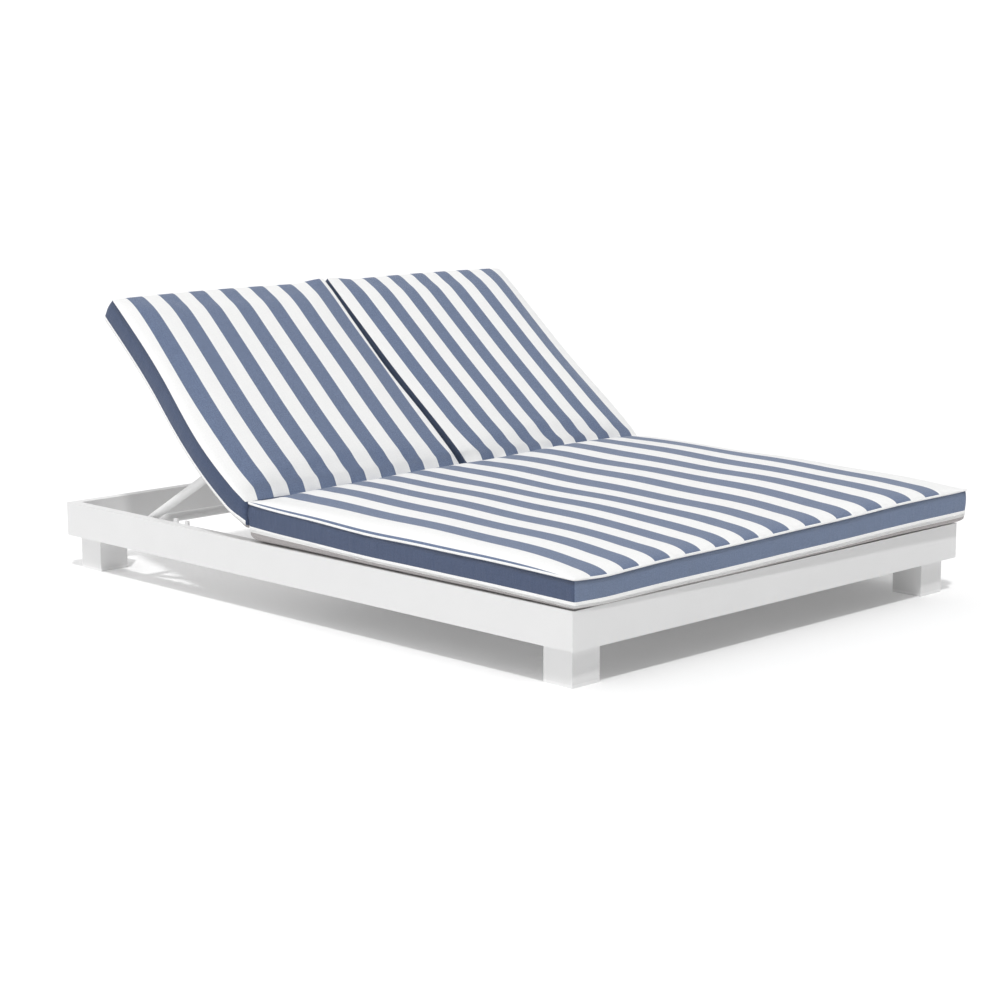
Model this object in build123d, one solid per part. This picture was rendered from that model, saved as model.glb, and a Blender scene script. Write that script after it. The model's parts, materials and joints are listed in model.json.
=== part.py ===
from build123d import *
import math
import os

# Double chaise lounger: a low aluminium base on four square legs, a fixed slatted seat under one wide
# cushion, and two back frames side by side, each hinged by itself and propped on toothed racks.
# X runs from head (-) to foot (+), Y from left (-) to right (+), Z up. Origin: centre of the footprint,
# on the floor. All lengths are in millimetres, angles in degrees.

# Base frame
base_length = 2000
base_width = 1500
rail_top_height = 190
rail_height = 95
rail_thickness = 30
rail_wall = 2.5

# Legs
leg_side = 92
leg_wall = 3
leg_inset = 27
leg_top_plate = 5
foot_cap_height = 8
foot_cap_plug = 20
foot_cap_wall = 3
plug_clearance = 0.3
corner_plate_side = 130
corner_plate_thickness = 6
leg_bolt_diameter = 8
leg_bolt_spacing = 56
leg_bolt_length = 18
leg_bolt_head_width = 13
leg_bolt_head_height = 5.5
bolt_hole_clearance = 0.5

# Beams, ledges and seat slats
beam_wall = 3
hinge_beam_width = 30
hinge_beam_height = 60
hinge_beam_gap = 20
centre_beam_width = 50
centre_beam_height = 66
deck_drop = 1
seat_slat_count = 9
seat_slat_gap = 27
seat_slat_thickness = 12
slat_wall = 1.5
slat_end_gap = 1
ledge_flange = 25
ledge_thickness = 3

# Back frames
back_head_gap = 15
back_tube = 25
back_tube_wall = 2
back_frame_length = 795
back_frame_side_gap = 34
back_bottom_tube_place = 52
back_slat_count = 7
back_slat_width = 60
back_slat_thickness = 8
rest_angle = 40
ear_thickness = 6
ear_gap = 1
ear_round = 13
hinge_pin_diameter = 10
pin_head_diameter = 16
pin_head_thickness = 3
running_clearance = 0.05
head_clearance = 0.3

# Props and racks
prop_arm_tube = 24
prop_bar_tube = 26
prop_tube_wall = 2
prop_pivot_place = 267
prop_foot_place = 517
prop_foot_drop = 20
prop_arm_overrun = 15
prop_pin_diameter = 8
prop_pin_head = 14
prop_pin_head_thickness = 2
rack_thickness = 5
rack_side_gap = 0.5
notch_step_angle = 7.6
notches_above_rest = 4
notches_below_rest = 3
notch_clearance = 0.5
rack_margin = 14
finger_rise = 10
finger_drop = 3
tall_finger_count = 2
notch_flare = 6
rack_screw_diameter = 5
rack_screw_head = 9
rack_screw_head_height = 2.5
rack_screw_length = 10
rack_screw_count = 3

# Rests for the backs when they lie flat
rest_bracket_length = 60
rest_bracket_margin = 5
rest_bracket_height = 30
rest_bracket_thickness = 4
rest_pad_side = 24
rest_pad_thickness = 3

# Cushions
cushion_side_margin = 2
seat_cushion_hinge_gap = 6
seat_cushion_foot_margin = 0
seat_edge_thickness = 70
seat_edge_lift_foot = 8
seat_edge_lift_head = 20
seat_crown = 46
back_cushion_low_place = 104
back_cushion_overhang = 41
back_edge_thickness = 59
back_edge_lift = 14
back_crown = 24
cushion_gap = 4
side_draw = 3
rest_clearance = 0.3

# Where along a cushion its sections lie, and how much of the full crown each one has
section_place_shares = (0.0, 0.08, 0.25, 0.5, 0.75, 0.92, 1.0)
section_crown_shares = (0.2, 0.62, 0.9, 1.0, 0.9, 0.62, 0.2)

# Places worked out from the sizes above
half_length = base_length / 2
half_width = base_width / 2
rail_bottom = rail_top_height - rail_height
inner_half_length = half_length - rail_thickness
inner_half_width = half_width - rail_thickness
deck_top = rail_top_height - deck_drop
slat_seat_height = deck_top - seat_slat_thickness
hinge_x = -inner_half_length + back_head_gap + back_frame_length
hinge_z = deck_top - back_tube / 2
hinge_beam_head_face = hinge_x + hinge_beam_gap
hinge_beam_foot_face = hinge_beam_head_face + hinge_beam_width
centre_face = centre_beam_width / 2
back_outer_face = inner_half_width - back_frame_side_gap
back_inner_face = centre_face + back_frame_side_gap
bar_radius = prop_bar_tube / 2
arm_radius = prop_arm_tube / 2
bar_outer_end = inner_half_width - rack_thickness - rack_side_gap
bar_inner_end = centre_face + rack_thickness + rack_side_gap
arm_outer_centre = bar_outer_end - arm_radius
arm_inner_centre = bar_inner_end + arm_radius


def back_point(angle, along, out=0):
    """Place in X and Z of a point of the back frame, when the back stands at an angle above flat."""
    turn = math.radians(angle)
    x = hinge_x - along * math.cos(turn) + out * math.sin(turn)
    z = hinge_z + along * math.sin(turn) + out * math.cos(turn)
    return x, z


# The prop's length and its angle below the horizontal come from where its foot stands at rest
prop_foot_x = hinge_x - prop_foot_place
prop_foot_height = rail_top_height - prop_foot_drop
pivot_x, pivot_z = back_point(rest_angle, prop_pivot_place)
prop_length = math.hypot(pivot_x - prop_foot_x, pivot_z - prop_foot_height)
prop_rest_angle = math.degrees(math.asin((pivot_z - prop_foot_height) / prop_length))
highest_angle = rest_angle + notches_above_rest * notch_step_angle
highest_pivot_z = back_point(highest_angle, prop_pivot_place)[1]
prop_highest_angle = math.degrees(math.asin((highest_pivot_z - prop_foot_height) / prop_length))
prop_turn_share = (prop_highest_angle - prop_rest_angle) / (highest_angle - rest_angle)


def foot_point(angle):
    """Place of the prop's foot when the back stands at an angle, the prop turning at a steady rate."""
    x, z = back_point(angle, prop_pivot_place)
    fall = math.radians(prop_rest_angle + prop_turn_share * (angle - rest_angle))
    return x - prop_length * math.cos(fall), z - prop_length * math.sin(fall)


def rack_outline():
    """Side view of a rack in X and Z: fingers between notches that follow the path of the prop's foot."""
    angles = [rest_angle + i * notch_step_angle for i in range(-notches_below_rest, notches_above_rest + 1)]
    notches = [foot_point(angle) for angle in angles]
    pitch = notches[-1][0] - notches[-2][0]
    head_end = notches[0][0] - pitch / 2 - rack_margin
    foot_end = notches[-1][0] + pitch / 2 + rack_margin / 2
    bottom = min(z for x, z in notches) - bar_radius - rack_margin
    high_top = rail_top_height + finger_rise
    low_top = rail_top_height - finger_drop
    step_x = notches[-tall_finger_count][0] if tall_finger_count > 0 else foot_end
    body = Polygon((head_end, bottom), (foot_end, bottom), (foot_end, high_top), (step_x, high_top),
                   (step_x, low_top), (head_end, low_top), align=None)
    radius = bar_radius + notch_clearance
    for x, z in notches:
        slot = Polygon((x - radius, z), (x + radius, z), (x + radius + notch_flare, high_top + rack_margin),
                       (x - radius - notch_flare, high_top + rack_margin), align=None)
        body -= Pos(x, z) * Circle(radius) + slot
    return body, head_end, foot_end, bottom


# Each rack: the face it is fixed to, and which way it stands off that face
rack_view, rack_head_end, rack_foot_end, rack_bottom = rack_outline()
rack_sides = {
    "rack_left_outer": (-inner_half_width, 1),
    "rack_left_inner": (-centre_face, -1),
    "rack_right_inner": (centre_face, 1),
    "rack_right_outer": (inner_half_width, -1),
}
rack_screw_z = rack_bottom + rack_margin / 2
rack_screw_step = (rack_foot_end - rack_head_end - 2 * rack_margin) / (rack_screw_count - 1)
rack_screw_places = [rack_head_end + rack_margin + i * rack_screw_step for i in range(rack_screw_count)]


def box(low, high):
    """A block between two corners."""
    size = [b - a for a, b in zip(low, high)]
    return Pos(*low) * Box(*size, align=(Align.MIN, Align.MIN, Align.MIN))


def mirrored(low, high, side):
    """A block given on the right side, or its mirror image on the left."""
    if side > 0:
        return box(low, high)
    return box((low[0], -high[1], low[2]), (high[0], -low[1], high[2]))


def pin_along_y(x, y_low, y_high, z, diameter):
    """A round bar along Y between two places."""
    return Pos(x, (y_low + y_high) / 2, z) * Rot(90, 0, 0) * Cylinder(diameter / 2, y_high - y_low)


def rack_screw_holes(name, start, end):
    """Holes for a rack's screws, between two depths measured from the face that the rack is fixed to."""
    face, outward = rack_sides[name]
    low, high = sorted((face + outward * start, face + outward * end))
    diameter = rack_screw_diameter + 2 * running_clearance
    return [pin_along_y(x, low, high, rack_screw_z, diameter) for x in rack_screw_places]


def mitred_rail(length, inner_length):
    """Hollow rail with mitred ends, outer face at Y = 0 and the inner face at Y = rail thickness."""
    slope = (length - inner_length) / 2 / rail_thickness

    def outline(near, far):
        near_half = length / 2 - slope * near
        far_half = length / 2 - slope * far
        return Polygon((-near_half, near), (near_half, near), (far_half, far), (-far_half, far), align=None)

    outer = extrude(outline(0, rail_thickness), rail_height)
    inner = extrude(outline(rail_wall, rail_thickness - rail_wall), rail_height - 2 * rail_wall)
    return Pos(0, 0, rail_bottom) * (outer - Pos(0, 0, rail_wall) * inner)


def base_rails():
    """The four rails of the base, welded at their mitres."""
    side = mitred_rail(base_length, 2 * inner_half_length)
    end = mitred_rail(base_width, 2 * inner_half_width)
    left = Pos(0, -half_width, 0) * side
    right = Rot(0, 0, 180) * left
    return {
        "side_rail_left": left - rack_screw_holes("rack_left_outer", -rail_wall, 0),
        "side_rail_right": right - rack_screw_holes("rack_right_outer", -rail_wall, 0),
        "head_rail": Rot(0, 0, -90) * (Pos(0, -half_length, 0) * end),
        "foot_rail": Rot(0, 0, 90) * (Pos(0, -half_length, 0) * end),
    }


corners = {"head_left": (-1, -1), "head_right": (-1, 1), "foot_left": (1, -1), "foot_right": (1, 1)}
leg_x = half_length - leg_inset - leg_side / 2
leg_y = half_width - leg_inset - leg_side / 2
leg_bolt_places = [
    (sx * leg_x + dx * leg_bolt_spacing / 2, sy * leg_y + dy * leg_bolt_spacing / 2)
    for sx, sy in corners.values()
    for dx in (-1, 1)
    for dy in (-1, 1)
]


def bolt_holes(low, high):
    """Clearance holes for all the leg bolts, between two heights."""
    radius = leg_bolt_diameter / 2 + bolt_hole_clearance
    holes = [Pos(x, y, (low + high) / 2) * Cylinder(radius, high - low) for x, y in leg_bolt_places]
    return Compound(children=holes)


def upright_block(side, low, high):
    """A square block on the Z axis, between two heights."""
    return box((-side / 2, -side / 2, low), (side / 2, side / 2, high))


def legs():
    """Square tube legs with a welded top plate."""
    made = {}
    holes = bolt_holes(rail_bottom - 2 * leg_top_plate, rail_bottom + leg_top_plate)
    tube = upright_block(leg_side, foot_cap_height, rail_bottom)
    tube -= upright_block(leg_side - 2 * leg_wall, foot_cap_height, rail_bottom - leg_top_plate)
    for name, (sx, sy) in corners.items():
        made["leg_" + name] = Pos(sx * leg_x, sy * leg_y, 0) * tube - holes
    return made


def foot_caps():
    """Moulded caps that close the legs: a sole plate with a hollow plug that fits inside the tube."""
    made = {}
    plug_side = leg_side - 2 * leg_wall - 2 * plug_clearance
    core_side = plug_side - 2 * foot_cap_wall
    plug_top = foot_cap_height + foot_cap_plug
    for name, (sx, sy) in corners.items():
        sole = upright_block(leg_side, 0, foot_cap_height)
        plug = upright_block(plug_side, foot_cap_height - foot_cap_wall, plug_top)
        core = upright_block(core_side, foot_cap_height, plug_top)
        made["foot_cap_" + name] = Pos(sx * leg_x, sy * leg_y, 0) * ((sole + plug) - core)
    return made


def corner_plates():
    """Gusset plates welded into the corners of the base, which the legs are bolted to."""
    made = []
    holes = bolt_holes(rail_bottom - corner_plate_thickness, rail_bottom + 2 * corner_plate_thickness)
    for sx, sy in corners.values():
        x, y = sx * inner_half_length, sy * inner_half_width
        reach_x, reach_y = sx * corner_plate_side, sy * corner_plate_side
        cut_x, cut_y = reach_x / 2, reach_y / 2
        points = [(x, y), (x - reach_x, y), (x - reach_x, y - cut_y), (x - cut_x, y - reach_y)]
        outline = Polygon(*points, (x, y - reach_y), align=None)
        plate = extrude(outline, corner_plate_thickness, dir=(0, 0, 1))
        made.append(Pos(0, 0, rail_bottom) * plate - holes)
    return made


def leg_bolts():
    """Hexagon bolts through the corner plates into the legs' top plates."""
    seat = rail_bottom + corner_plate_thickness
    made = []
    for x, y in leg_bolt_places:
        head = extrude(RegularPolygon(leg_bolt_head_width / 2, 6, major_radius=False), leg_bolt_head_height)
        shank = Pos(0, 0, -leg_bolt_length / 2) * Cylinder(leg_bolt_diameter / 2, leg_bolt_length)
        made.append(Pos(x, y, seat) * (head + shank))
    return made


def hollow_along(low, high, wall, axis):
    """Box section tube, open at both ends along one axis."""
    inner_low = [a if i == axis else a + wall for i, a in enumerate(low)]
    inner_high = [b if i == axis else b - wall for i, b in enumerate(high)]
    return box(low, high) - box(inner_low, inner_high)


def beams():
    """Cross beam at the hinges, and the centre beam in two lengths, all welded in."""
    beam_top = slat_seat_height
    hinge_low = (hinge_beam_head_face, -inner_half_width, beam_top - hinge_beam_height)
    hinge_high = (hinge_beam_foot_face, inner_half_width, beam_top)
    low_z = beam_top - centre_beam_height
    head = hollow_along((-inner_half_length, -centre_face, low_z), (hinge_beam_head_face, centre_face, beam_top),
                        beam_wall, 0)
    for name in ("rack_left_inner", "rack_right_inner"):
        head -= rack_screw_holes(name, -beam_wall, 0)
    return {
        "hinge_beam": hollow_along(hinge_low, hinge_high, beam_wall, 1),
        "centre_beam_head": head,
        "centre_beam_foot": hollow_along((hinge_beam_foot_face, -centre_face, low_z),
                                         (inner_half_length, centre_face, beam_top), beam_wall, 0),
    }


def slat_ledges():
    """Angle bars inside the side rails, which carry the ends of the seat slats."""
    made = {}
    start, end = hinge_beam_foot_face, inner_half_length
    under = slat_seat_height - ledge_thickness
    for name, side in (("slat_ledge_left", -1), ("slat_ledge_right", 1)):
        flange = mirrored((start, inner_half_width - ledge_flange, under),
                          (end, inner_half_width, slat_seat_height), side)
        web = mirrored((start, inner_half_width - ledge_thickness, slat_seat_height - ledge_flange),
                       (end, inner_half_width, under), side)
        made[name] = flange + web
    return made


def seat_slats():
    """Flat hollow slats across the seat, evenly spaced."""
    made = {}
    span = inner_half_length - hinge_beam_foot_face
    width = (span - (seat_slat_count + 1) * seat_slat_gap) / seat_slat_count
    reach = inner_half_width - slat_end_gap
    for i in range(seat_slat_count):
        x = hinge_beam_foot_face + seat_slat_gap + i * (width + seat_slat_gap)
        high = (x + width, reach, deck_top)
        made[f"seat_slat_{i + 1}"] = hollow_along((x, -reach, slat_seat_height), high, slat_wall, 1)
    return made


def hinge_ears():
    """Plates welded to the hinge beam, one beside the foot of each back frame tube."""
    made = []
    faces = (back_outer_face - back_tube - ear_gap - ear_thickness, back_inner_face + back_tube + ear_gap)
    for side in (-1, 1):
        for face in faces:
            arm_low = (hinge_x, face, hinge_z - ear_round)
            arm = mirrored(arm_low, (hinge_beam_head_face, face + ear_thickness, hinge_z), side)
            y_low = face if side > 0 else -face - ear_thickness
            eye = pin_along_y(hinge_x, y_low, y_low + ear_thickness, hinge_z, 2 * ear_round)
            bore = pin_along_y(hinge_x, y_low, y_low + ear_thickness, hinge_z,
                               hinge_pin_diameter + 2 * running_clearance)
            made.append((arm + eye) - bore)
    return made


def headed_pin(x, y_low, y_high, z, diameter, head_diameter):
    """Pin along Y with a flat round head beyond each end of its grip."""
    shaft = pin_along_y(x, y_low, y_high, z, diameter)
    first = pin_along_y(x, y_low - pin_head_thickness, y_low, z, head_diameter)
    second = pin_along_y(x, y_high, y_high + pin_head_thickness, z, head_diameter)
    return shaft + first + second


def hinge_pins():
    """Four pins that the back frames turn on, each through an ear and a frame tube."""
    grip = back_tube + ear_gap + ear_thickness + head_clearance
    made = []
    for side in (-1, 1):
        for start in (back_outer_face + head_clearance - grip, back_inner_face - head_clearance):
            y_low = start if side > 0 else -start - grip
            pin = headed_pin(hinge_x, y_low, y_low + grip, hinge_z, hinge_pin_diameter, pin_head_diameter)
            made.append(pin)
    return made


def racks():
    """Toothed racks, screwed to the inside of the side rails and to both sides of the centre beam."""
    made = {}
    screws = []
    for name, (face, outward) in rack_sides.items():
        plate = extrude(Plane.XZ * rack_view, rack_thickness, dir=(0, outward, 0))
        plate = Pos(0, face, 0) * plate
        plate -= rack_screw_holes(name, 0, rack_thickness)
        top = face + outward * rack_thickness
        seat = top - outward * rack_screw_head_height
        tip = top - outward * rack_screw_length
        for x in rack_screw_places:
            sink = rack_screw_head + 2 * running_clearance
            plate -= pin_along_y(x, min(seat, top), max(seat, top), rack_screw_z, sink)
            head = pin_along_y(x, min(seat, top), max(seat, top), rack_screw_z, rack_screw_head)
            shank = pin_along_y(x, min(seat, tip), max(seat, tip), rack_screw_z, rack_screw_diameter)
            screws.append(head + shank)
        made[name] = plate
    made["rack_screws"] = screws
    return made


def back_rests():
    """Angle brackets on the head rail with rubber pads, which carry the side tubes of the flat backs."""
    made = {}
    pads = []
    pad_top = hinge_z - back_tube / 2 - rest_clearance
    top = pad_top - rest_pad_thickness
    pad_x = hinge_x - back_frame_length + back_tube / 2 - rest_pad_side / 2
    shelf_end = pad_x + rest_pad_side + rest_bracket_margin
    for side_name, side in (("left", -1), ("right", 1)):
        brackets = []
        for middle in (back_inner_face + back_tube / 2, back_outer_face - back_tube / 2):
            y_low, y_high = middle - rest_bracket_length / 2, middle + rest_bracket_length / 2
            shelf = mirrored((-inner_half_length, y_low, top - rest_bracket_thickness),
                             (shelf_end, y_high, top), side)
            upright = mirrored((-inner_half_length, y_low, top - rest_bracket_height),
                               (-inner_half_length + rest_bracket_thickness, y_high, top), side)
            brackets.append(shelf + upright)
            pads.append(mirrored((pad_x, middle - rest_pad_side / 2, top),
                                 (pad_x + rest_pad_side, middle + rest_pad_side / 2, pad_top), side))
        made["rest_brackets_" + side_name] = brackets
    made["rest_pads"] = pads
    return made


def on_back(shape):
    """Moves a shape made flat, with the hinge at the origin, to the back's place at rest."""
    return Pos(hinge_x, 0, hinge_z) * Rot(0, rest_angle, 0) * shape


def back_frame(side_name, side):
    """Welded back frame: side tubes closed at both ends, a top and a bottom tube, and slats flush in front."""
    half = back_tube / 2
    inner_edge = back_inner_face + back_tube
    outer_edge = back_outer_face - back_tube
    hinge_bore = hinge_pin_diameter + 2 * running_clearance
    prop_bore = prop_pin_diameter + 2 * running_clearance

    def side_tube(y):
        y_low = y if side > 0 else -y - back_tube
        low = (-back_frame_length, y_low, -half)
        high = (half, y_low + back_tube, half)
        tube = box(low, high) - box([a + back_tube_wall for a in low], [b - back_tube_wall for b in high])
        tube -= pin_along_y(0, y_low, y_low + back_tube, 0, hinge_bore)
        tube -= pin_along_y(-prop_pivot_place, y_low, y_low + back_tube, 0, prop_bore)
        return tube

    def cross_tube(x):
        y_low = inner_edge if side > 0 else -outer_edge
        return hollow_along((x, y_low, -half), (x + back_tube, y_low + outer_edge - inner_edge, half),
                            back_tube_wall, 1)

    bottom_x = -back_bottom_tube_place - half
    top_x = -back_frame_length
    span = bottom_x - (top_x + back_tube)
    gap = (span - back_slat_count * back_slat_width) / (back_slat_count + 1)
    y_low = inner_edge if side > 0 else -outer_edge
    slats = []
    for i in range(back_slat_count):
        x = top_x + back_tube + gap + i * (back_slat_width + gap)
        slat = hollow_along((x, y_low, half - back_slat_thickness),
                            (x + back_slat_width, y_low + outer_edge - inner_edge, half), slat_wall, 1)
        slats.append(on_back(slat))
    return {
        f"back_side_tube_{side_name}_outer": on_back(side_tube(outer_edge)),
        f"back_side_tube_{side_name}_inner": on_back(side_tube(back_inner_face)),
        f"back_top_tube_{side_name}": on_back(cross_tube(top_x)),
        f"back_bottom_tube_{side_name}": on_back(cross_tube(bottom_x)),
        f"back_slats_{side_name}": slats,
    }


def prop_frame(side_name, side):
    """Prop of one back: two round tube arms coped and welded to a cross bar, and its pivot pins."""

    def place(shape):
        return Pos(pivot_x, 0, pivot_z) * Rot(0, -prop_rest_angle, 0) * shape

    def span(low, high):
        return (low, high) if side > 0 else (-high, -low)

    bar_low, bar_high = span(bar_inner_end, bar_outer_end)
    bar = pin_along_y(-prop_length, bar_low, bar_high, 0, prop_bar_tube)
    bore = pin_along_y(-prop_length, bar_low, bar_high, 0, prop_bar_tube - 2 * prop_tube_wall)
    made = {f"prop_bar_{side_name}": place(bar - bore)}
    for name, centre in (("outer", arm_outer_centre), ("inner", arm_inner_centre)):
        y = side * centre
        along = Pos((prop_arm_overrun - prop_length) / 2, y, 0) * Rot(0, 90, 0)
        reach = prop_length + prop_arm_overrun
        tube = along * (Cylinder(arm_radius, reach) - Cylinder(arm_radius - prop_tube_wall, reach))
        hole = pin_along_y(0, y - arm_radius, y + arm_radius, 0, prop_pin_diameter + 2 * running_clearance)
        made[f"prop_arm_{side_name}_{name}"] = place(tube - bar - hole)
    pins = []
    for tube_face, arm_centre in ((back_outer_face - back_tube, arm_outer_centre),
                                  (back_inner_face + back_tube, arm_inner_centre)):
        outward = 1 if arm_centre > tube_face else -1
        head_start = arm_centre + outward * (arm_radius + running_clearance)
        head_end = head_start + outward * prop_pin_head_thickness
        shaft_low, shaft_high = span(min(tube_face, head_start), max(tube_face, head_start))
        head_low, head_high = span(min(head_start, head_end), max(head_start, head_end))
        shaft = pin_along_y(-prop_pivot_place, shaft_low, shaft_high, 0, prop_pin_diameter)
        head = pin_along_y(-prop_pivot_place, head_low, head_high, 0, prop_pin_head)
        pins.append(on_back(shaft + head))
    made[f"prop_pins_{side_name}"] = pins
    return made


def cushion_section(x, y_low, y_high, low, high, over, under):
    """Outline of a cushion across its width: crowned above and below, with sides that draw in."""
    middle = (y_low + y_high) / 2
    mid_z = (low + high) / 2
    corner_points = [(x, y_low, low), (x, y_high, low), (x, y_high, high), (x, y_low, high)]
    middle_points = [(x, middle, low - under), (x, y_high - side_draw, mid_z), (x, middle, high + over),
                     (x, y_low + side_draw, mid_z)]
    edges = [
        ThreePointArc(corner_points[i], middle_points[i], corner_points[(i + 1) % 4])
        for i in range(len(corner_points))
    ]
    return Face(Wire(edges))


def seat_cushion():
    """One wide cushion over the seat: its underside rests on the slats in the middle."""
    start, end = hinge_x + seat_cushion_hinge_gap, half_length - seat_cushion_foot_margin
    reach = half_width - cushion_side_margin
    sections = []
    for place_share, crown_share in zip(section_place_shares, section_crown_shares):
        lift = seat_edge_lift_head + (seat_edge_lift_foot - seat_edge_lift_head) * place_share
        low = deck_top + rest_clearance + lift
        high = low + seat_edge_thickness
        x = start + (end - start) * place_share
        over, under = seat_crown * crown_share, lift * crown_share
        sections.append(cushion_section(x, -reach, reach, low, high, over, under))
    return loft(sections, ruled=True)


def back_cushion(side):
    """One back cushion, crowned front and rear, resting on the slats of its frame."""
    low_y, high_y = cushion_gap / 2, half_width - cushion_side_margin
    if side < 0:
        low_y, high_y = -high_y, -low_y
    start, end = -back_frame_length - back_cushion_overhang, -back_cushion_low_place
    low = back_tube / 2 + rest_clearance + back_edge_lift
    high = low + back_edge_thickness
    sections = []
    for place_share, crown_share in zip(section_place_shares, section_crown_shares):
        x = start + (end - start) * place_share
        over, under = back_crown * crown_share, back_edge_lift * crown_share
        sections.append(cushion_section(x, low_y, high_y, low, high, over, under))
    return on_back(loft(sections, ruled=True))


def all_parts():
    """Every node of the lounger, by name."""
    parts = {}
    parts.update(base_rails())
    parts.update(legs())
    parts.update(foot_caps())
    parts["corner_plates"] = corner_plates()
    parts["leg_bolts"] = leg_bolts()
    parts.update(beams())
    parts.update(slat_ledges())
    parts.update(seat_slats())
    parts["hinge_ears"] = hinge_ears()
    parts["hinge_pins"] = hinge_pins()
    parts.update(racks())
    parts.update(back_rests())
    parts["seat_cushion"] = seat_cushion()
    for side_name, side in (("left", -1), ("right", 1)):
        parts.update(back_frame(side_name, side))
        parts.update(prop_frame(side_name, side))
        parts["back_cushion_" + side_name] = back_cushion(side)
    return parts


os.makedirs("parts", exist_ok=True)
for node, shape in all_parts().items():
    if isinstance(shape, list):
        shape = Compound(children=shape)
    export_step(shape, f"parts/{node}.step")
print("hinge", hinge_x, hinge_z, "prop pivot", round(pivot_x, 4), round(pivot_z, 4))
print("prop length", round(prop_length, 3), "prop angle", round(prop_rest_angle, 4))
print("highest angle", highest_angle, "prop turns", round(1 + prop_turn_share, 6), "times the back")
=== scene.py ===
import json
import math
import bpy
from mathutils import Matrix, Vector, noise


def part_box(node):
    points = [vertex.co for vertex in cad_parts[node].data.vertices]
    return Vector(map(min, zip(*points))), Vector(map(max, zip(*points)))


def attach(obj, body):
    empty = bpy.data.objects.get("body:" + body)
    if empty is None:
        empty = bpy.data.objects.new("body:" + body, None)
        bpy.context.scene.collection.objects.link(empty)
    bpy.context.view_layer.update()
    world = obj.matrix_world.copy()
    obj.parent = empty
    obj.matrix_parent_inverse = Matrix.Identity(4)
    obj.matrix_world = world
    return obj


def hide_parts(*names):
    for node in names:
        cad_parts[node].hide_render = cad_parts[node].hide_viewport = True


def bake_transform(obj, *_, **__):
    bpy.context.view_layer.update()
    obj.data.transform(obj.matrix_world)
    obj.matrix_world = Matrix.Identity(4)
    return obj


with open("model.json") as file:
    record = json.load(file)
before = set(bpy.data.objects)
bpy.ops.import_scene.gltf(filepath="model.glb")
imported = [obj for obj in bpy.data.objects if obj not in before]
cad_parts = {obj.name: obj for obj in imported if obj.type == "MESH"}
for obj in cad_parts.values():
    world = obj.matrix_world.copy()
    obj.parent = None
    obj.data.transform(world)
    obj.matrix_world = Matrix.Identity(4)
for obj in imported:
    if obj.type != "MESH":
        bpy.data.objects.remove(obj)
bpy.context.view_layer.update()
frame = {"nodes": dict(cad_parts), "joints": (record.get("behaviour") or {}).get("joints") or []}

# The photograph's view.
# The camera stands off the foot end's left corner, a little above the lounger, and looks down at the middle.
# Its place, turn, tilt, roll and focal length in pixels fit the corners of the base in the photograph.
camera_place = Vector((4.52114, -4.43583, 1.36162))
camera_turn = 2.36525
camera_tilt = -0.17766
camera_roll = -0.00441
focal_pixels = 2316.55
frame_pixels = 1000
sensor_mm = 36.0

ahead = Vector((math.cos(camera_tilt) * math.cos(camera_turn), math.cos(camera_tilt) * math.sin(camera_turn),
                math.sin(camera_tilt)))
level_right = Vector((math.sin(camera_turn), -math.cos(camera_turn), 0))
level_up = level_right.cross(ahead)
camera_right = level_right * math.cos(camera_roll) + level_up * math.sin(camera_roll)
camera_up = level_up * math.cos(camera_roll) - level_right * math.sin(camera_roll)

camera = bpy.data.objects.new("camera", bpy.data.cameras.new("camera"))
camera.data.sensor_width = sensor_mm
camera.data.lens = focal_pixels / frame_pixels * sensor_mm
camera_axes = Matrix((camera_right, camera_up, -ahead)).transposed().to_4x4()
camera.matrix_world = Matrix.Translation(camera_place) @ camera_axes
bpy.context.scene.collection.objects.link(camera)
bpy.context.scene.camera = camera


# Studio floor and light.
# A lit white floor runs to the horizon. One lamp stands high on the camera's side, and a soft surround fills
# the rest, dimmer on the foot end's side and white where it meets the floor.
class Wire:
    """One output of a node. Arithmetic on it adds Math nodes to the same material."""

    def __init__(self, finish, socket):
        self.finish = finish
        self.socket = socket

    def math(self, operation, *values):
        return self.finish.node("ShaderNodeMath", {"operation": operation}, dict(enumerate(values)))

    def __add__(self, other):
        return self.math("ADD", self, other)

    def __sub__(self, other):
        return self.math("SUBTRACT", self, other)

    def __rsub__(self, other):
        return self.math("SUBTRACT", other, self)

    def __mul__(self, other):
        return self.math("MULTIPLY", self, other)

    __radd__ = __add__
    __rmul__ = __mul__

    def fraction(self):
        return self.math("FRACT", self)

    def wave(self, pitch):
        """A wave from 0 to 1 that repeats at one pitch."""
        turns = self * (2 * math.pi / pitch)
        return self.math("SINE", turns) * 0.5 + 0.5

    def ramp(self, low, high):
        """0 below one value and 1 above the other, smooth between them."""
        settings = {"interpolation_type": "SMOOTHSTEP"}
        values = {"Value": self, "From Min": low, "From Max": high}
        return self.finish.node("ShaderNodeMapRange", settings, values)


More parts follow.
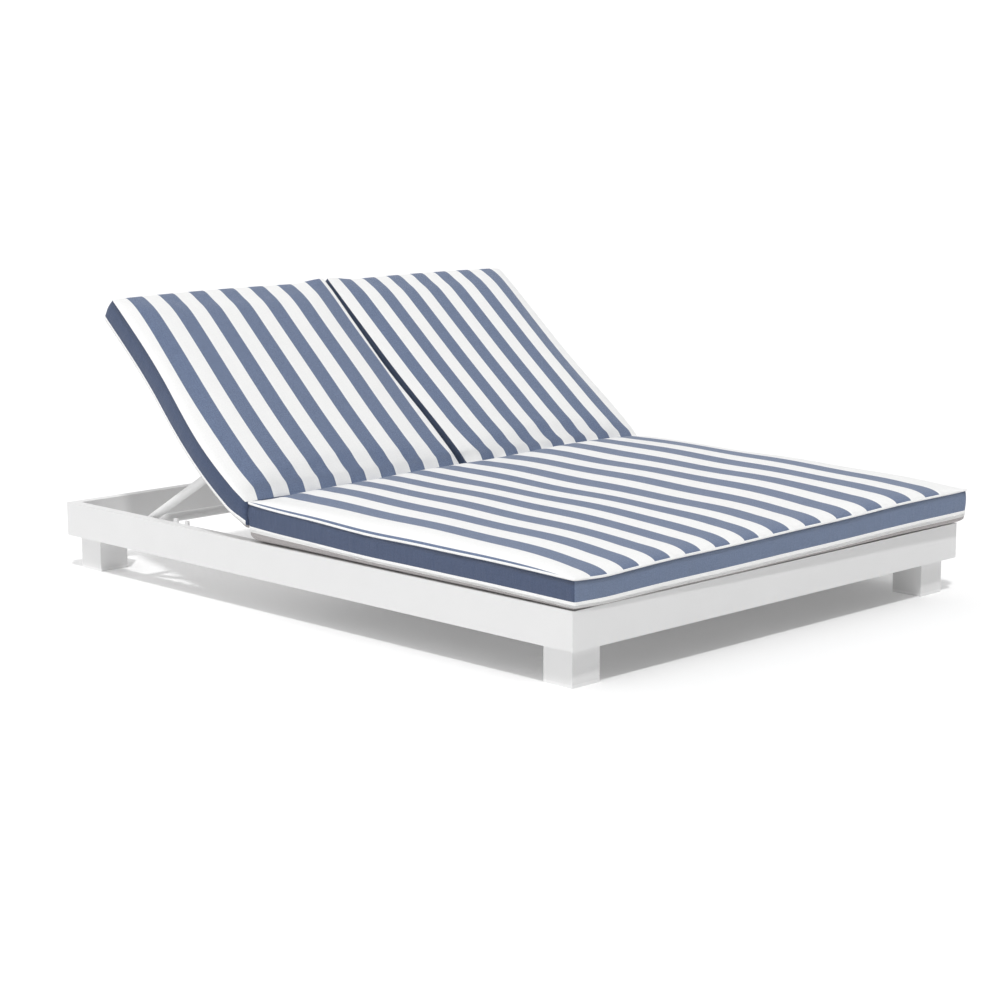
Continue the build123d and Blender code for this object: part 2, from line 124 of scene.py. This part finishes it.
class Finish:
    """A material being mixed: it makes nodes, joins them and sets the shader's sockets."""

    def __init__(self, owner, shader, **sockets):
        owner.use_nodes = True
        self.owner = owner
        self.tree = owner.node_tree
        self.shader = self.tree.nodes[shader]
        self.set(**sockets)

    def node(self, kind, settings=None, values=None, output=0):
        made = self.tree.nodes.new(kind)
        for name, value in (settings or {}).items():
            setattr(made, name, value)
        for name, value in (values or {}).items():
            self.join(value, made.inputs[name])
        return Wire(self, made.outputs[output])

    def join(self, value, socket):
        if isinstance(value, Wire):
            self.tree.links.new(value.socket, socket)
        else:
            socket.default_value = value

    def set(self, **sockets):
        for name, value in sockets.items():
            self.join(value, self.shader.inputs[name.replace("_", " ")])

    def mix(self, share, first, second):
        """A colour between two, by a share from 0 to 1."""
        return self.node("ShaderNodeMix", {"data_type": "RGBA"}, {0: share, 6: first, 7: second}, output=2)

    def place(self, stretch=(1, 1, 1)):
        """Place on the object in metres, stretched along its axes."""
        coordinates = self.node("ShaderNodeTexCoord", output=3)
        return self.node("ShaderNodeVectorMath", {"operation": "MULTIPLY"}, {0: coordinates, 1: stretch})

    def grain(self, size, detail=2.0, stretch=(1, 1, 1)):
        """Noise with grains of about one size, in metres."""
        values = {"Vector": self.place(stretch), "Scale": 1 / size, "Detail": detail}
        return self.node("ShaderNodeTexNoise", None, values)

    def along(self, vector, axis):
        """One of a vector's three numbers."""
        return self.node("ShaderNodeSeparateXYZ", None, {0: vector}, output=axis)

    def bump(self, height, depth):
        """Relief of one depth, in metres, from a height of 0 to 1."""
        self.set(Normal=self.node("ShaderNodeBump", None, {"Height": height, "Distance": depth}))


def material(name, **sockets):
    return Finish(bpy.data.materials.new(name), "Principled BSDF", **sockets)


def grey(value):
    return (value, value, value, 1)


def link(name, data):
    """A new object in the scene."""
    made = bpy.data.objects.new(name, data)
    bpy.context.scene.collection.objects.link(made)
    return made


floor_reach = 1500.0
floor_white = material("studio_white", Base_Color=grey(0.92), Roughness=0.9, Emission_Color=grey(1.0),
                       Emission_Strength=0.10)
floor_mesh = bpy.data.meshes.new("floor")
floor_corners = [(x * floor_reach, y * floor_reach, 0) for x, y in ((-1, -1), (1, -1), (1, 1), (-1, 1))]
floor_mesh.from_pydata(floor_corners, [], [(0, 1, 2, 3)])
floor_mesh.materials.append(floor_white.owner)
link("floor", floor_mesh)

horizon_white, horizon_edge = 1.12, (0.04, 0.10)
sky_even, sky_foot_dim, sky_left_gain, sky_top_gain = 0.40, 0.42, 0.16, 0.42
sky = Finish(bpy.data.worlds.new("surround"), "Background", Color=grey(1.0))
heading = sky.node("ShaderNodeTexCoord", output=0)
soft = (sky.along(heading, 2) * sky_top_gain - sky.along(heading, 0) * sky_foot_dim
        - sky.along(heading, 1) * sky_left_gain + sky_even)
above = sky.along(heading, 2).ramp(*horizon_edge)
sky.set(Strength=soft * above + horizon_white * (1 - above))
bpy.context.scene.world = sky.owner

lamp_aim = Vector((-0.40, 0.34, -1))
lamp = bpy.data.lights.new("overhead", "SUN")
lamp.energy = 1.45
lamp.angle = math.radians(4)
link("overhead", lamp).rotation_euler = lamp_aim.to_track_quat("-Z", "Y").to_euler()
bpy.context.scene.view_settings.view_transform = "Standard"


# Base, beams, slats, racks and back frames: powder-coated aluminium.
# Extruded tube and plate, welded, then coated white. The coat rounds every edge a little, and has the fine
# orange-peel surface of baked powder.
coat_clouds, coat_patches = 0.12, 0.05
orange_peel, orange_peel_depth = 0.0016, 0.00006
coat = material("powder_coat")
coat.set(Base_Color=coat.mix(coat.grain(coat_clouds, detail=3), grey(0.76), grey(0.80)))
coat.set(Roughness=coat.grain(coat_patches) * 0.12 + 0.36)
coat.bump(coat.grain(orange_peel, detail=1), orange_peel_depth)

coated_edge = 0.0012
narrow_edge = 0.0004


def dress(node, finish, edge):
    """Gives a CAD node its finish, and rounds its edges."""
    part = frame["nodes"][node]
    part.data.materials.clear()
    part.data.materials.append(finish.owner)
    rounding = part.modifiers.new("rounded_edges", "BEVEL")
    rounding.width = edge
    rounding.segments = 2
    rounding.limit_method = "ANGLE"


coated_frames = ("side_rail", "head_rail", "foot_rail", "leg_head", "leg_foot", "centre_beam", "hinge_beam",
                 "back_side_tube", "back_top_tube", "back_bottom_tube")
coated_thin = ("corner_plates", "slat_ledge", "seat_slat", "hinge_ears", "rack_left", "rack_right",
               "rest_brackets", "back_slats", "prop_arm", "prop_bar")
for node in frame["nodes"]:
    if node.startswith(coated_frames):
        dress(node, coat, coated_edge)
    elif node.startswith(coated_thin):
        dress(node, coat, narrow_edge)


# Foot caps: moulded plastic, off-white with a fine matt texture.
# Each is pushed into the open end of its leg and closes it.
cap_clouds, cap_patches = 0.04, 0.03
cap_texture, cap_texture_depth = 0.0009, 0.00004
cap_plastic = material("foot_cap_plastic")
cap_plastic.set(Base_Color=cap_plastic.mix(cap_plastic.grain(cap_clouds), grey(0.82), grey(0.86)))
cap_plastic.set(Roughness=cap_plastic.grain(cap_patches) * 0.1 + 0.5)
cap_plastic.bump(cap_plastic.grain(cap_texture, detail=1), cap_texture_depth)
for node in frame["nodes"]:
    if node.startswith("foot_cap"):
        dress(node, cap_plastic, narrow_edge)


# Bolts, screws and pins: plain stainless steel, turned and polished.
# The turning leaves fine marks round them, drawn as grain that is short along one axis.
polish_streaks, turning_marks, turning_depth = 0.004, 0.0006, 0.00001
steel = material("stainless", Base_Color=(0.58, 0.58, 0.57, 1), Metallic=1.0)
steel.set(Roughness=steel.grain(polish_streaks, stretch=(1, 6, 1)) * 0.15 + 0.22)
steel.bump(steel.grain(turning_marks, stretch=(1, 8, 1)), turning_depth)
for node in ("leg_bolts", "rack_screws", "hinge_pins", "prop_pins_left", "prop_pins_right"):
    dress(node, steel, narrow_edge)


# Rest pads: black rubber blocks, cut from a thick sheet.
# They are glued to the head rail's brackets, and the backs lie on them when they are down flat.
rubber_patches, rubber_grain, rubber_depth = 0.01, 0.002, 0.0001
rubber = material("rubber", Base_Color=grey(0.02))
rubber.set(Roughness=rubber.grain(rubber_patches) * 0.15 + 0.65)
rubber.bump(rubber.grain(rubber_grain), rubber_depth)
dress("rest_pads", rubber, narrow_edge)


# Cushion cloth: solution-dyed woven acrylic, blue and white stripes on top and plain on the edges.
# One map of the cloth counts stripes across a panel, and the other is the cloth in metres, for its threads.
# Each colour is given as two shades of its yarn.
thread_pitch = 0.0014
slub_length, slub_width = 0.030, 0.0035
fleck = 0.0035
slub_share, fleck_share = 0.4, 0.6
yarn_contrast = (0.36, 0.64)
blue_share, stripe_edge = 0.5, 0.014
twill_height, yarn_height, weave_depth = 0.2, 0.3, 0.0007
gather_stretch = 7
stripe_blue = ((0.105, 0.147, 0.246, 1), (0.151, 0.205, 0.337, 1))
# The border's blue is one cloth drawn as two copies: a darker one for the long sides, which is painted shade,
# and a lighter one for the ends, which is painted light.
shaded_side_blue = ((0.057, 0.080, 0.145, 1), (0.071, 0.100, 0.181, 1))
lit_end_blue = ((0.143, 0.187, 0.283, 1), (0.177, 0.229, 0.347, 1))
white = ((0.93, 0.93, 0.925, 1), (0.975, 0.975, 0.97, 1))
# The underside's grey-brown is painted shade: the underside's light cloth drawn darker for the shade under
# the border.
underside_shade_grey = ((0.36, 0.34, 0.34, 1), (0.43, 0.405, 0.405, 1))


def cloth(name, colours, over=None, gathers=0.0, gather_width=0.01, sheen=0.1):
    """Woven cloth of one colour, with stripes of a second colour over it and gathers in it if given."""
    finish = material(name, Roughness=0.85, Sheen_Weight=sheen, Sheen_Roughness=0.5)
    metres = finish.node("ShaderNodeUVMap", {"uv_map": "weave"})

    def mottle(length, width):
        drawn = finish.node("ShaderNodeVectorMath", {"operation": "DIVIDE"},
                            {0: metres, 1: (length, width, 1)})
        return finish.node("ShaderNodeTexNoise", None, {"Vector": drawn, "Scale": 1.0, "Detail": 2.0})

    slub = mottle(slub_length, slub_width) * 0.5 + mottle(slub_width, slub_length) * 0.5
    yarn = (slub * slub_share + mottle(fleck, fleck) * fleck_share).ramp(*yarn_contrast)
    colour = finish.mix(yarn, *colours)
    if over:
        count = finish.along(finish.node("ShaderNodeUVMap", {"uv_map": "stripes"}), 0).fraction()
        stripe = count.ramp(0, stripe_edge) - count.ramp(blue_share, blue_share + stripe_edge)
        colour = finish.mix(stripe, colour, finish.mix(yarn, *over))
    twill = (finish.along(metres, 0) + finish.along(metres, 1)).wave(thread_pitch)
    relief = twill * twill_height + yarn * yarn_height
    if gathers:
        relief = relief + mottle(gather_width, gather_width * gather_stretch) * gathers
    finish.set(Base_Color=colour)
    finish.bump(relief, weave_depth)
    return finish


striped_cloth = cloth("striped_cloth", white, stripe_blue, sheen=0.35)
# The side cloth and the end cloth are the same blue: the side one carries painted shade and the end one
# painted light.
shaded_side_cloth = cloth("shaded_side_cloth", shaded_side_blue, gathers=3.0, gather_width=0.016)
lit_end_cloth = cloth("lit_end_cloth", lit_end_blue, gathers=3.0, gather_width=0.016)
band_cloth = cloth("band_cloth", white, gathers=3.0)
# The under cloth's grey-brown colour is painted shade.
shaded_under_cloth = cloth("shaded_under_cloth", underside_shade_grey, gathers=2.0, gather_width=0.02)
white_cloth = cloth("white_cloth", white)
cover_cloths = (striped_cloth, shaded_side_cloth, lit_end_cloth, band_cloth, shaded_under_cloth, white_cloth)
stripes, side, end, band, under, plain = range(len(cover_cloths))


# Cushion making: a striped top, a blue border with a white band under it, and an underside whose grey-brown
# is painted shade.
# The cover is built flat, in its own directions along, across and up, and a function puts each point in
# place. Then it is filled, its top seam may be corded, and it is made smooth.
grid_step = 0.0125
edge_places = (0.0, 0.004, 0.010, 0.018, 0.028)
border_rows, band_rows = 6, 2
corner_round = 0.008
border_bulge, band_bulge_share = 0.003, 0.6
seam_pull, bulge_beside_pull = 0.003, 0.7
fold_depth, fold_length = 0.0016, 0.045
free_from_seam = (0.004, 0.12)
border_freedom = 0.3
plain_count = 0.75
fill_pressure, fill_cap, fill_frames = 4.0, 0.006, 20
cloth_slack, least_travel = 0.006, 0.000006
cord_sides, cord_proud = 8, 0.2


def smooth(value, low, high):
    """0 at one value and 1 at the other, smooth between them."""
    share = min(max((value - low) / (high - low), 0), 1)
    return share * share * (3 - 2 * share)


def hill(value, middle, width):
    """1 at its middle, and down to nothing about two widths away."""
    return math.exp(-((value - middle) / width) ** 2)


def fade(distance, reach):
    """1 at the start, and ever less beyond it."""
    return math.exp(-distance / reach)


def shoulder(inward, reach, power):
    """How far a panel has risen from its seam, from 0 at the seam to 1 well inside."""
    return 1 - math.exp(-(max(inward, 0) / reach) ** power)


def stations(low, high):
    """Places from one edge to the other, closer together near both."""
    near = [low + place for place in edge_places]
    far = [high - place for place in reversed(edge_places)]
    count = round((far[0] - near[-1]) / grid_step)
    between = [near[-1] + (far[0] - near[-1]) * i / count for i in range(1, count)]
    return near + between + far


class Cushion:
    """One cushion's cover: its mesh, its seams and its cloths.

    The functions it is given say how high its seams run, how far its top rises and its underside sags, where
    a point stands on the lounger, and how many stripes lie before it.
    """

    def __init__(self, name, along, across, seams, crown, sag, place, count, low_cloth=None,
                 high_cloth=end):
        self.name = name
        self.along, self.across = stations(*along), stations(*across)
        self.last_i, self.last_j = len(self.along) - 1, len(self.across) - 1
        self.middle = (sum(along) / 2, sum(across) / 2)
        self.half = ((along[1] - along[0]) / 2, (across[1] - across[0]) / 2)
        self.seams, self.crown, self.sag, self.place, self.count = seams, crown, sag, place, count
        self.low_cloth, self.high_cloth = low_cloth, high_cloth
        self.points, self.faces, self.slots, self.maps, self.freedom = [], [], [], [], []

    def rounded(self, i, j):
        """Place of one grid point, with the panel's corners made round."""
        offsets = (self.along[i] - self.middle[0], self.across[j] - self.middle[1])
        past = [abs(offset) - half + corner_round for offset, half in zip(offsets, self.half)]
        if min(past) > 0:
            shrink = max(past) / math.hypot(*past)
            spots = [math.copysign(half - corner_round + over * shrink, offset)
                     for offset, half, over in zip(offsets, self.half, past)]
            return spots[0] + self.middle[0], spots[1] + self.middle[1]
        return self.along[i], self.across[j]

    def inward(self, i, j):
        """Distances to the two ends and to the two sides."""
        return (self.along[i] - self.along[0], self.along[-1] - self.along[i],
                self.across[j] - self.across[0], self.across[-1] - self.across[j])

    def pulled(self, index, last):
        """How far the underside's edge is pulled in by its seam, and the cloth beside it pushed out."""
        near = {0: seam_pull, 1: -bulge_beside_pull * seam_pull}
        return near.get(index, 0) - near.get(last - index, 0)

    def add(self, a, b, h, weave, count, freedom=0.0):
        """One point of the cover, its place on the cloth, and how freely the filling may move it."""
        self.points.append(self.place(a, b, h))
        self.maps.append((weave, (count, a)))
        self.freedom.append(freedom)
        return len(self.points) - 1

    def quad(self, corners, slot):
        self.faces.append(corners)
        self.slots.append(slot)

    def panels(self):
        """The top and the underside, on one grid."""
        top, bottom = {}, {}
        for i in range(self.last_i + 1):
            for j in range(self.last_j + 1):
                a, b = self.rounded(i, j)
                rest, low, _, high = self.seams(a, b)
                inward = self.inward(i, j)
                top[i, j] = self.add(a, b, high + self.crown(*inward), (b, a),
                                     self.count(a, b, min(inward[2:])),
                                     smooth(min(inward), *free_from_seam))
                bottom[i, j] = self.add(a + self.pulled(i, self.last_i), b + self.pulled(j, self.last_j),
                                        low + (rest - low) * self.sag(*inward), (b, a), plain_count)
        for i in range(self.last_i):
            for j in range(self.last_j):
                self.quad((top[i, j], top[i, j + 1], top[i + 1, j + 1], top[i + 1, j]), stripes)
                # The underside's cloth is the darkened one, painted shade.
                self.quad((bottom[i, j], bottom[i + 1, j], bottom[i + 1, j + 1], bottom[i, j + 1]), under)
        return top, bottom

    def border_row(self, row, ring, fold_level):
        """One row of points round the border or the band, counted down from the top seam."""
        made = []
        for i, j in ring:
            a, b = self.rounded(i, j)
            _, low, middle, high = self.seams(a, b)
            if row <= border_rows:
                share = row / border_rows
                swell = math.sin(math.pi * share)
                fold = fold_depth * noise.noise(Vector((a, b, fold_level)) / fold_length)
                bulge = (border_bulge + fold) * swell
                freedom = border_freedom * swell
                h = high + (middle - high) * share
                count = self.count(a, b, corner_round)
            else:
                share = (row - border_rows) / band_rows
                bulge = border_bulge * band_bulge_share * math.sin(math.pi * share)
                freedom = 0.0
                h = middle + (low - middle) * share
                count = plain_count
            out_a = (i == self.last_i) - (i == 0)
            out_b = (j == self.last_j) - (j == 0)
            made.append(self.add(a + out_a * bulge, b + out_b * bulge, h, (a + b, h), count, freedom))
        return made

    def edge_cloth(self, row, ends):
        """The cloth of one face of the border or the band, by its row and by the ends that it touches."""
        if ends == {0} and self.low_cloth is not None:
            return self.low_cloth
        if row >= border_rows:
            return band
        if ends == {self.last_i}:
            return self.high_cloth
        # Long sides get the darker blue, which is painted shade, and ends the lighter blue, which is painted
        # light.
        return end if ends == {0} else side

    def build(self):
        top, bottom = self.panels()
        ring = [(0, j) for j in range(self.last_j)] + [(i, self.last_j) for i in range(self.last_i)]
        ring += [(self.last_i, j) for j in range(self.last_j, 0, -1)]
        ring += [(i, 0) for i in range(self.last_i, 0, -1)]
        fold_level = sum(self.seams(*self.middle)) / 4
        rows = [[top[key] for key in ring]]
        rows += [self.border_row(row, ring, fold_level) for row in range(1, border_rows + band_rows)]
        rows.append([bottom[key] for key in ring])
        for row, (upper, lower) in enumerate(zip(rows, rows[1:])):
            for k, (i, _) in enumerate(ring):
                n = (k + 1) % len(ring)
                self.quad((upper[k], lower[k], lower[n], upper[n]), self.edge_cloth(row, {i, ring[n][0]}))
        self.top_seam = rows[0]
        mesh = bpy.data.meshes.new(self.name)
        mesh.from_pydata(self.points, [], self.faces)
        for finish in cover_cloths:
            mesh.materials.append(finish.owner)
        mesh.polygons.foreach_set("material_index", self.slots)
        mesh.polygons.foreach_set("use_smooth", [True] * len(self.faces))
        corners = [corner.vertex_index for corner in mesh.loops]
        for which, layer in enumerate(("weave", "stripes")):
            uv = mesh.uv_layers.new(name=layer)
            uv.data.foreach_set("uv", [part for vertex in corners for part in self.maps[vertex][which]])
        self.cover = link(self.name, mesh)
        return self


def fill(cushion):
    """Fills a cover: cloth under air pressure, with its seams and underside held, and its travel capped."""
    cover = cushion.cover
    held = cover.vertex_groups.new(name="held")
    held.add([vertex for vertex, freedom in enumerate(cushion.freedom) if not freedom], 1.0, "REPLACE")
    start = [vertex.co.copy() for vertex in cover.data.vertices]
    filling = cover.modifiers.new("fill", "CLOTH")
    filling.settings.use_pressure = True
    filling.settings.uniform_pressure_force = fill_pressure
    filling.settings.vertex_group_mass = "held"
    filling.settings.shrink_min = -cloth_slack
    filling.settings.effector_weights.gravity = 0
    filling.collision_settings.use_collision = False
    for step in range(1, fill_frames + 1):
        bpy.context.scene.frame_set(step)
    swollen = cover.evaluated_get(bpy.context.evaluated_depsgraph_get()).to_mesh()
    moved = [vertex.co.copy() for vertex in swollen.vertices]
    cover.modifiers.remove(filling)
    cover.vertex_groups.remove(held)
    for vertex, old, new, freedom in zip(cover.data.vertices, start, moved, cushion.freedom):
        travel = new - old
        vertex.co = old + travel * freedom * min(1, fill_cap / max(travel.length, least_travel))
    bpy.context.scene.frame_set(1)


def piping(name, cushion, seam, up, radius):
    """A cord in a strip of white cloth, sewn into a seam: a tube along the seam's points."""
    places = [cushion.cover.data.vertices[k].co.copy() for k in seam]
    middle = sum(places, Vector()) / len(places)
    vertices, faces, coordinates = [], [], []
    walked = 0.0
    count = len(places)
    for k, place in enumerate(places):
        after = places[(k + 1) % count]
        out = (after - places[k - 1]).normalized().cross(up).normalized()
        if out.dot(place - middle) < 0:
            out = -out
        centre = place + out * radius * cord_proud
        for turn in range(cord_sides):
            angle = 2 * math.pi * turn / cord_sides
            vertices.append(centre + (out * math.cos(angle) + up * math.sin(angle)) * radius)
            coordinates.append((walked, radius * angle))
        walked += (after - place).length
    for k in range(count):
        here, there = k * cord_sides, (k + 1) % count * cord_sides
        for turn in range(cord_sides):
            beside = (turn + 1) % cord_sides
            faces.append((here + turn, there + turn, there + beside, here + beside))
    mesh = bpy.data.meshes.new(name)
    mesh.from_pydata(vertices, [], faces)
    mesh.materials.append(white_cloth.owner)
    mesh.polygons.foreach_set("use_smooth", [True] * len(faces))
    uv = mesh.uv_layers.new(name="weave")
    uv.data.foreach_set("uv", [part for corner in mesh.loops for part in coordinates[corner.vertex_index]])
    return link(name, mesh)


def finish_cover(piece):
    """One subdivision of a filled cover, made part of its mesh."""
    rounding = piece.modifiers.new("rounding", "SUBSURF")
    rounding.levels = rounding.render_levels = 1
    fine = bpy.data.meshes.new_from_object(piece.evaluated_get(bpy.context.evaluated_depsgraph_get()))
    piece.modifiers.remove(rounding)
    piece.data = fine


# Seat cushion: one wide pad over the whole seat, 1.17 by 1.5 m.
# Its border stands off the rails, higher at the head than at the foot, and its underside bulges down to
# rest on the rails and the slats. The stripes run slightly askew, wider apart on the far side.
seat_head, seat_foot, seat_side = -0.160, 1.006, 0.750
seat_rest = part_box("side_rail_left")[1][2] + 0.0005
seat_far_foot, seat_far_side = 0.018, 0.007
seat_far_lift, seat_lift_height = 0.012, 0.02
head_bulge, head_bulge_reach = 0.006, 0.12

# Of each seam, from the bottom one up: its height at the foot, how much it climbs along the seat and close to
# the head, and its shares of the wander and of the slope. Waves are height, middle and width.
seat_seam_lines = ((0.198, 0.008, 0.008, 0.5, 0.8), (0.213, 0.005, 0.013, 0.5, 0.5),
                   (0.267, 0.006, 0.016, 1, 1))
head_rise_reach = 0.17
seam_wander, wander_turns = 0.0010, ((17, 9, 0.0), (7, -13, 1.0))
near_waves, near_wave_reach = ((0.0075, -0.02, 0.26), (0.003, 0.70, 0.12)), 0.08
foot_slope, foot_slope_reach = 0.014, 0.10
corner_drop, corner_drop_width = 0.008, (-0.02, 0.08)

# Of each shoulder: how far it reaches in, and how blunt it is.
near_shoulder, far_shoulder = (0.045, 0.65), (0.050, 0.65)
head_shoulder, foot_shoulder = (0.045, 0.8), (0.110, 0.65)
seat_near_crown, seat_far_crown = 0.043, 0.057
hollow, hollow_from_head, hollow_length, hollow_reach = 0.008, 0.14, 0.16, 0.15
seat_sag_reach = 0.007

stripe_skew = 0.03
narrow_stripe, wide_stripe = 0.1066, 0.1245
first_stripe, middle_stripe = -0.696, -0.056
narrow_total, seat_last_count = 6, 11.8
sliver_width, sliver_blur = 0.0048, 20
piping_radius = 0.0032


def seat_place(a, b, h):
    """The far side is a little longer, further out and higher, and the head end bulges beside the backs."""
    far = (b + seat_side) / (2 * seat_side)
    toward_foot = (a - seat_head) / (seat_foot - seat_head)
    bulged = head_bulge * fade(a - seat_head, head_bulge_reach) * (2 * far - 1)
    return Vector((a + seat_far_foot * far * toward_foot,
                   b + seat_far_side * far * toward_foot + bulged,
                   h + seat_far_lift * far * smooth(h, seat_rest, seat_rest + seat_lift_height)))


def seat_seams(a, b):
    """Heights of what the underside rests on, and of the three seams above it."""
    toward_head = (seat_foot - a) / (seat_foot - seat_head)
    rise = fade(a - seat_head, head_rise_reach)
    wander = seam_wander * sum(math.sin(a * along + b * across + start)
                               for along, across, start in wander_turns)
    far = (b + seat_side) / (2 * seat_side)
    slope = foot_slope * far - corner_drop * smooth(far, *corner_drop_width)
    slope *= fade(seat_foot - a, foot_slope_reach)
    near_wave = sum(height * hill(a, middle, width) for height, middle, width in near_waves)
    slope += near_wave * (1 - smooth(b + seat_side, 0, near_wave_reach))
    return (seat_rest, *(height + climb * toward_head + at_head * rise + wander * wandering + slope * sloping
                         for height, climb, at_head, wandering, sloping in seat_seam_lines))


def seat_crown(head, foot, left, right):
    """Height of the top over its seam: fuller on the far side, and pressed down near the left back."""
    far = left / (left + right)
    sides = shoulder(left, *near_shoulder) * shoulder(right, *far_shoulder)
    ends = shoulder(head, *head_shoulder) * shoulder(foot, *foot_shoulder)
    pressed = hollow * math.exp(-((head - hollow_from_head) / hollow_length) ** 2 - left / hollow_reach)
    return (seat_near_crown + (seat_far_crown - seat_near_crown) * far ** 2 - pressed) * sides * ends


def seat_sag(head, foot, left, right):
    return 1 - fade(min(head, foot * 0.5, left, right), seat_sag_reach)


def seat_stripes(a, b, inward):
    """Stripes counted from the near side, with a thin line of blue drawn along the near seam."""
    askew = b - stripe_skew * (seat_foot - a)
    if b < middle_stripe:
        sliver = min(max(-blue_share + (inward - sliver_width) * sliver_blur, -0.6), -0.4)
        return max((askew - first_stripe) / narrow_stripe, sliver)
    return min(narrow_total + (askew - middle_stripe) / wide_stripe, seat_last_count)


seat = Cushion("seat_cushion_cover", (seat_head, seat_foot), (-seat_side, seat_side), seat_seams, seat_crown,
               seat_sag, seat_place, seat_stripes).build()
fill(seat)
upright = Vector((0, 0, 1))
seat_pieces = [seat.cover, piping("seat_top_piping", seat, seat.top_seam, upright, piping_radius)]
finish_cover(seat.cover)
for piece in seat_pieces:
    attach(piece, "base")
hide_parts("seat_cushion")


# Back cushions: two pads side by side, 0.74 and 0.73 by 0.79 m, lying on their slatted frames.
# Low down they press on the seat cushion and spread outward, the left one more.
hinge = next(Vector(joint["pos_m"]) for joint in frame["joints"] if joint["name"] == "back_left_recline")
recline = math.radians(40)
up_back = Vector((math.sin(recline), 0, math.cos(recline)))
along_back = Vector((-math.cos(recline), 0, math.sin(recline)))
back_low, back_top = 0.054, 0.844
back_pads = {"left": ((-0.746, -0.003), stripes), "right": ((0.015, 0.741), plain)}
back_deck, back_band_low, back_band_high, back_seam = 0.0130, 0.025, 0.036, 0.087
back_crown_height = 0.024
back_sag_reach = 0.030
bend_length = 0.10

# A run says where along the pad a change begins and ends, and a pair named at gives its middle and width.
# Shoulders are given as for the seat cushion.
low_end_length = 0.08
low_end_run = (back_low, back_low + low_end_length)
low_lift, low_lift_run = 0.016, (back_low, back_low + 0.07)
low_fullness, low_fullness_run = 0.004, (0.2, 0.5)
top_drop, top_drop_run = 0.009, (0.25, 0.5)
inner_lift, inner_lift_width, inner_lift_least = 0.019, 0.12, 0.3
end_shoulder, top_shoulder, side_shoulder = (0.050, 0.8), (0.022, 0.8), (0.022, 0.65)
lean_height = 0.060
top_bow, top_bow_run = 0.005, (0.6, back_top)
inner_shift = 0.011
left_spread, left_spread_at = 0.037, (0.26, 0.24)
left_waist, left_waist_at = 0.007, (0.47, 0.15)
left_top_shift, left_top_run = 0.004, (0.65, 0.8)
right_inner_spread, right_outer_spread, right_spread_at = 0.010, 0.020, (0.10, 0.23)

left_first, left_pitch = -0.736, 0.1085
left_low_bend, left_low_bend_at = 0.016, (0.08, 0.07)
left_lean, left_lean_run = 0.030, (0.25, 0.8)
left_narrowing, left_narrowing_run = 0.0024, (0.4, 0.7)
right_first, right_pitch = 0.061, 0.0976
right_low_bend, right_low_bend_at = 0.020, (0.08, 0.06)
right_lean, right_lean_from, right_lean_reach = 0.016, 0.08, 0.15
right_step, right_step_run = 0.004, (0.15, 0.25)
back_first_count, back_last_count = -0.3, 6.8


def back_sag(low, top, left, right):
    return smooth(min(low, top, left, right), 0, back_sag_reach)


def back_cushion(hand, across, high_cloth):
    """One pad, sewn and filled."""
    inner, outer = sorted(across, key=abs)

    def lift(from_inner, from_low):
        """How much higher the front seam runs where the two pads meet, less so at their low end."""
        share = inner_lift_least + (1 - inner_lift_least) * smooth(from_low, 0, low_end_length)
        return inner_lift * (1 - smooth(from_inner, 0, inner_lift_width)) * share

    def back_seams(a, b):
        """Heights of the deck that the underside rests on, and of the three seams above it."""
        shift = low_lift * (1 - smooth(a, *low_lift_run)) - top_drop * smooth(a, *top_drop_run)
        thicker = low_fullness * (1 - smooth(a, *low_fullness_run))
        return (back_deck, back_band_low + shift, back_band_high + shift,
                back_seam + thicker + lift(abs(b - inner), a - back_low))

    def back_crown(low, top, left, right):
        ends = shoulder(low, *end_shoulder) * shoulder(top, *top_shoulder)
        height = back_crown_height - lift(right if hand == "left" else left, low)
        return height * ends * shoulder(left, *side_shoulder) * shoulder(right, *side_shoulder)

    def spread(a, b):
        """How far the pad has spread sideways at a place."""
        outward = (b - inner) / (outer - inner)
        at_low_end = inner_shift * (1 - smooth(a, *low_end_run)) * (1 - outward)
        if hand == "left":
            waist = left_top_shift * smooth(a, *left_top_run) - left_waist * hill(a, *left_waist_at)
            pushed = -left_spread * outward ** 3 * hill(a, *left_spread_at)
            return pushed + waist * (1 - outward) + at_low_end
        widest = right_inner_spread * (1 - outward) + right_outer_spread * outward
        return widest * hill(a, *right_spread_at) + at_low_end

    def back_place(a, b, h):
        """The low end stands upright against the seat cushion, and the top end is bowed."""
        lean = math.tan(recline) * (h - lean_height) * (1 - smooth(a, *low_end_run))
        bow = top_bow * smooth(a, *top_bow_run) * math.sin(math.pi * (b - inner) / (outer - inner))
        return Vector((hinge.x, b + spread(a, b), hinge.z)) + along_back * (a + lean + bow) + up_back * h

    def back_stripes(a, b, inward):
        """Stripes counted across: high up they lean to the middle, and low down they bend to the right."""
        if hand == "left":
            first = left_first + left_low_bend * hill(a, *left_low_bend_at)
            first += left_lean * smooth(a, *left_lean_run)
            pitch = left_pitch - left_narrowing * smooth(a, *left_narrowing_run)
        else:
            first = right_first + right_lean * fade(a - right_lean_from, right_lean_reach)
            first -= right_step * smooth(a, *right_step_run)
            first += right_low_bend * hill(a, *right_low_bend_at)
            pitch = right_pitch
        return min(max((b + spread(a, b) - first) / pitch, back_first_count), back_last_count)

    # Each pad's low end takes the darker side cloth, which is painted shade for the shade that end lies in.
    pad = Cushion(f"back_cushion_cover_{hand}", (back_low, back_top), across, back_seams, back_crown,
                  back_sag, back_place, back_stripes, low_cloth=side, high_cloth=high_cloth).build()
    fill(pad)
    finish_cover(pad.cover)
    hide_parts(f"back_cushion_{hand}")
    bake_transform(pad.cover, "base", f"back_{hand}", start=back_place(back_low, 0, 0.05),
             end=back_place(back_low + bend_length, 0, 0.05))


for hand, (across, high_cloth) in back_pads.items():
    back_cushion(hand, across, high_cloth)
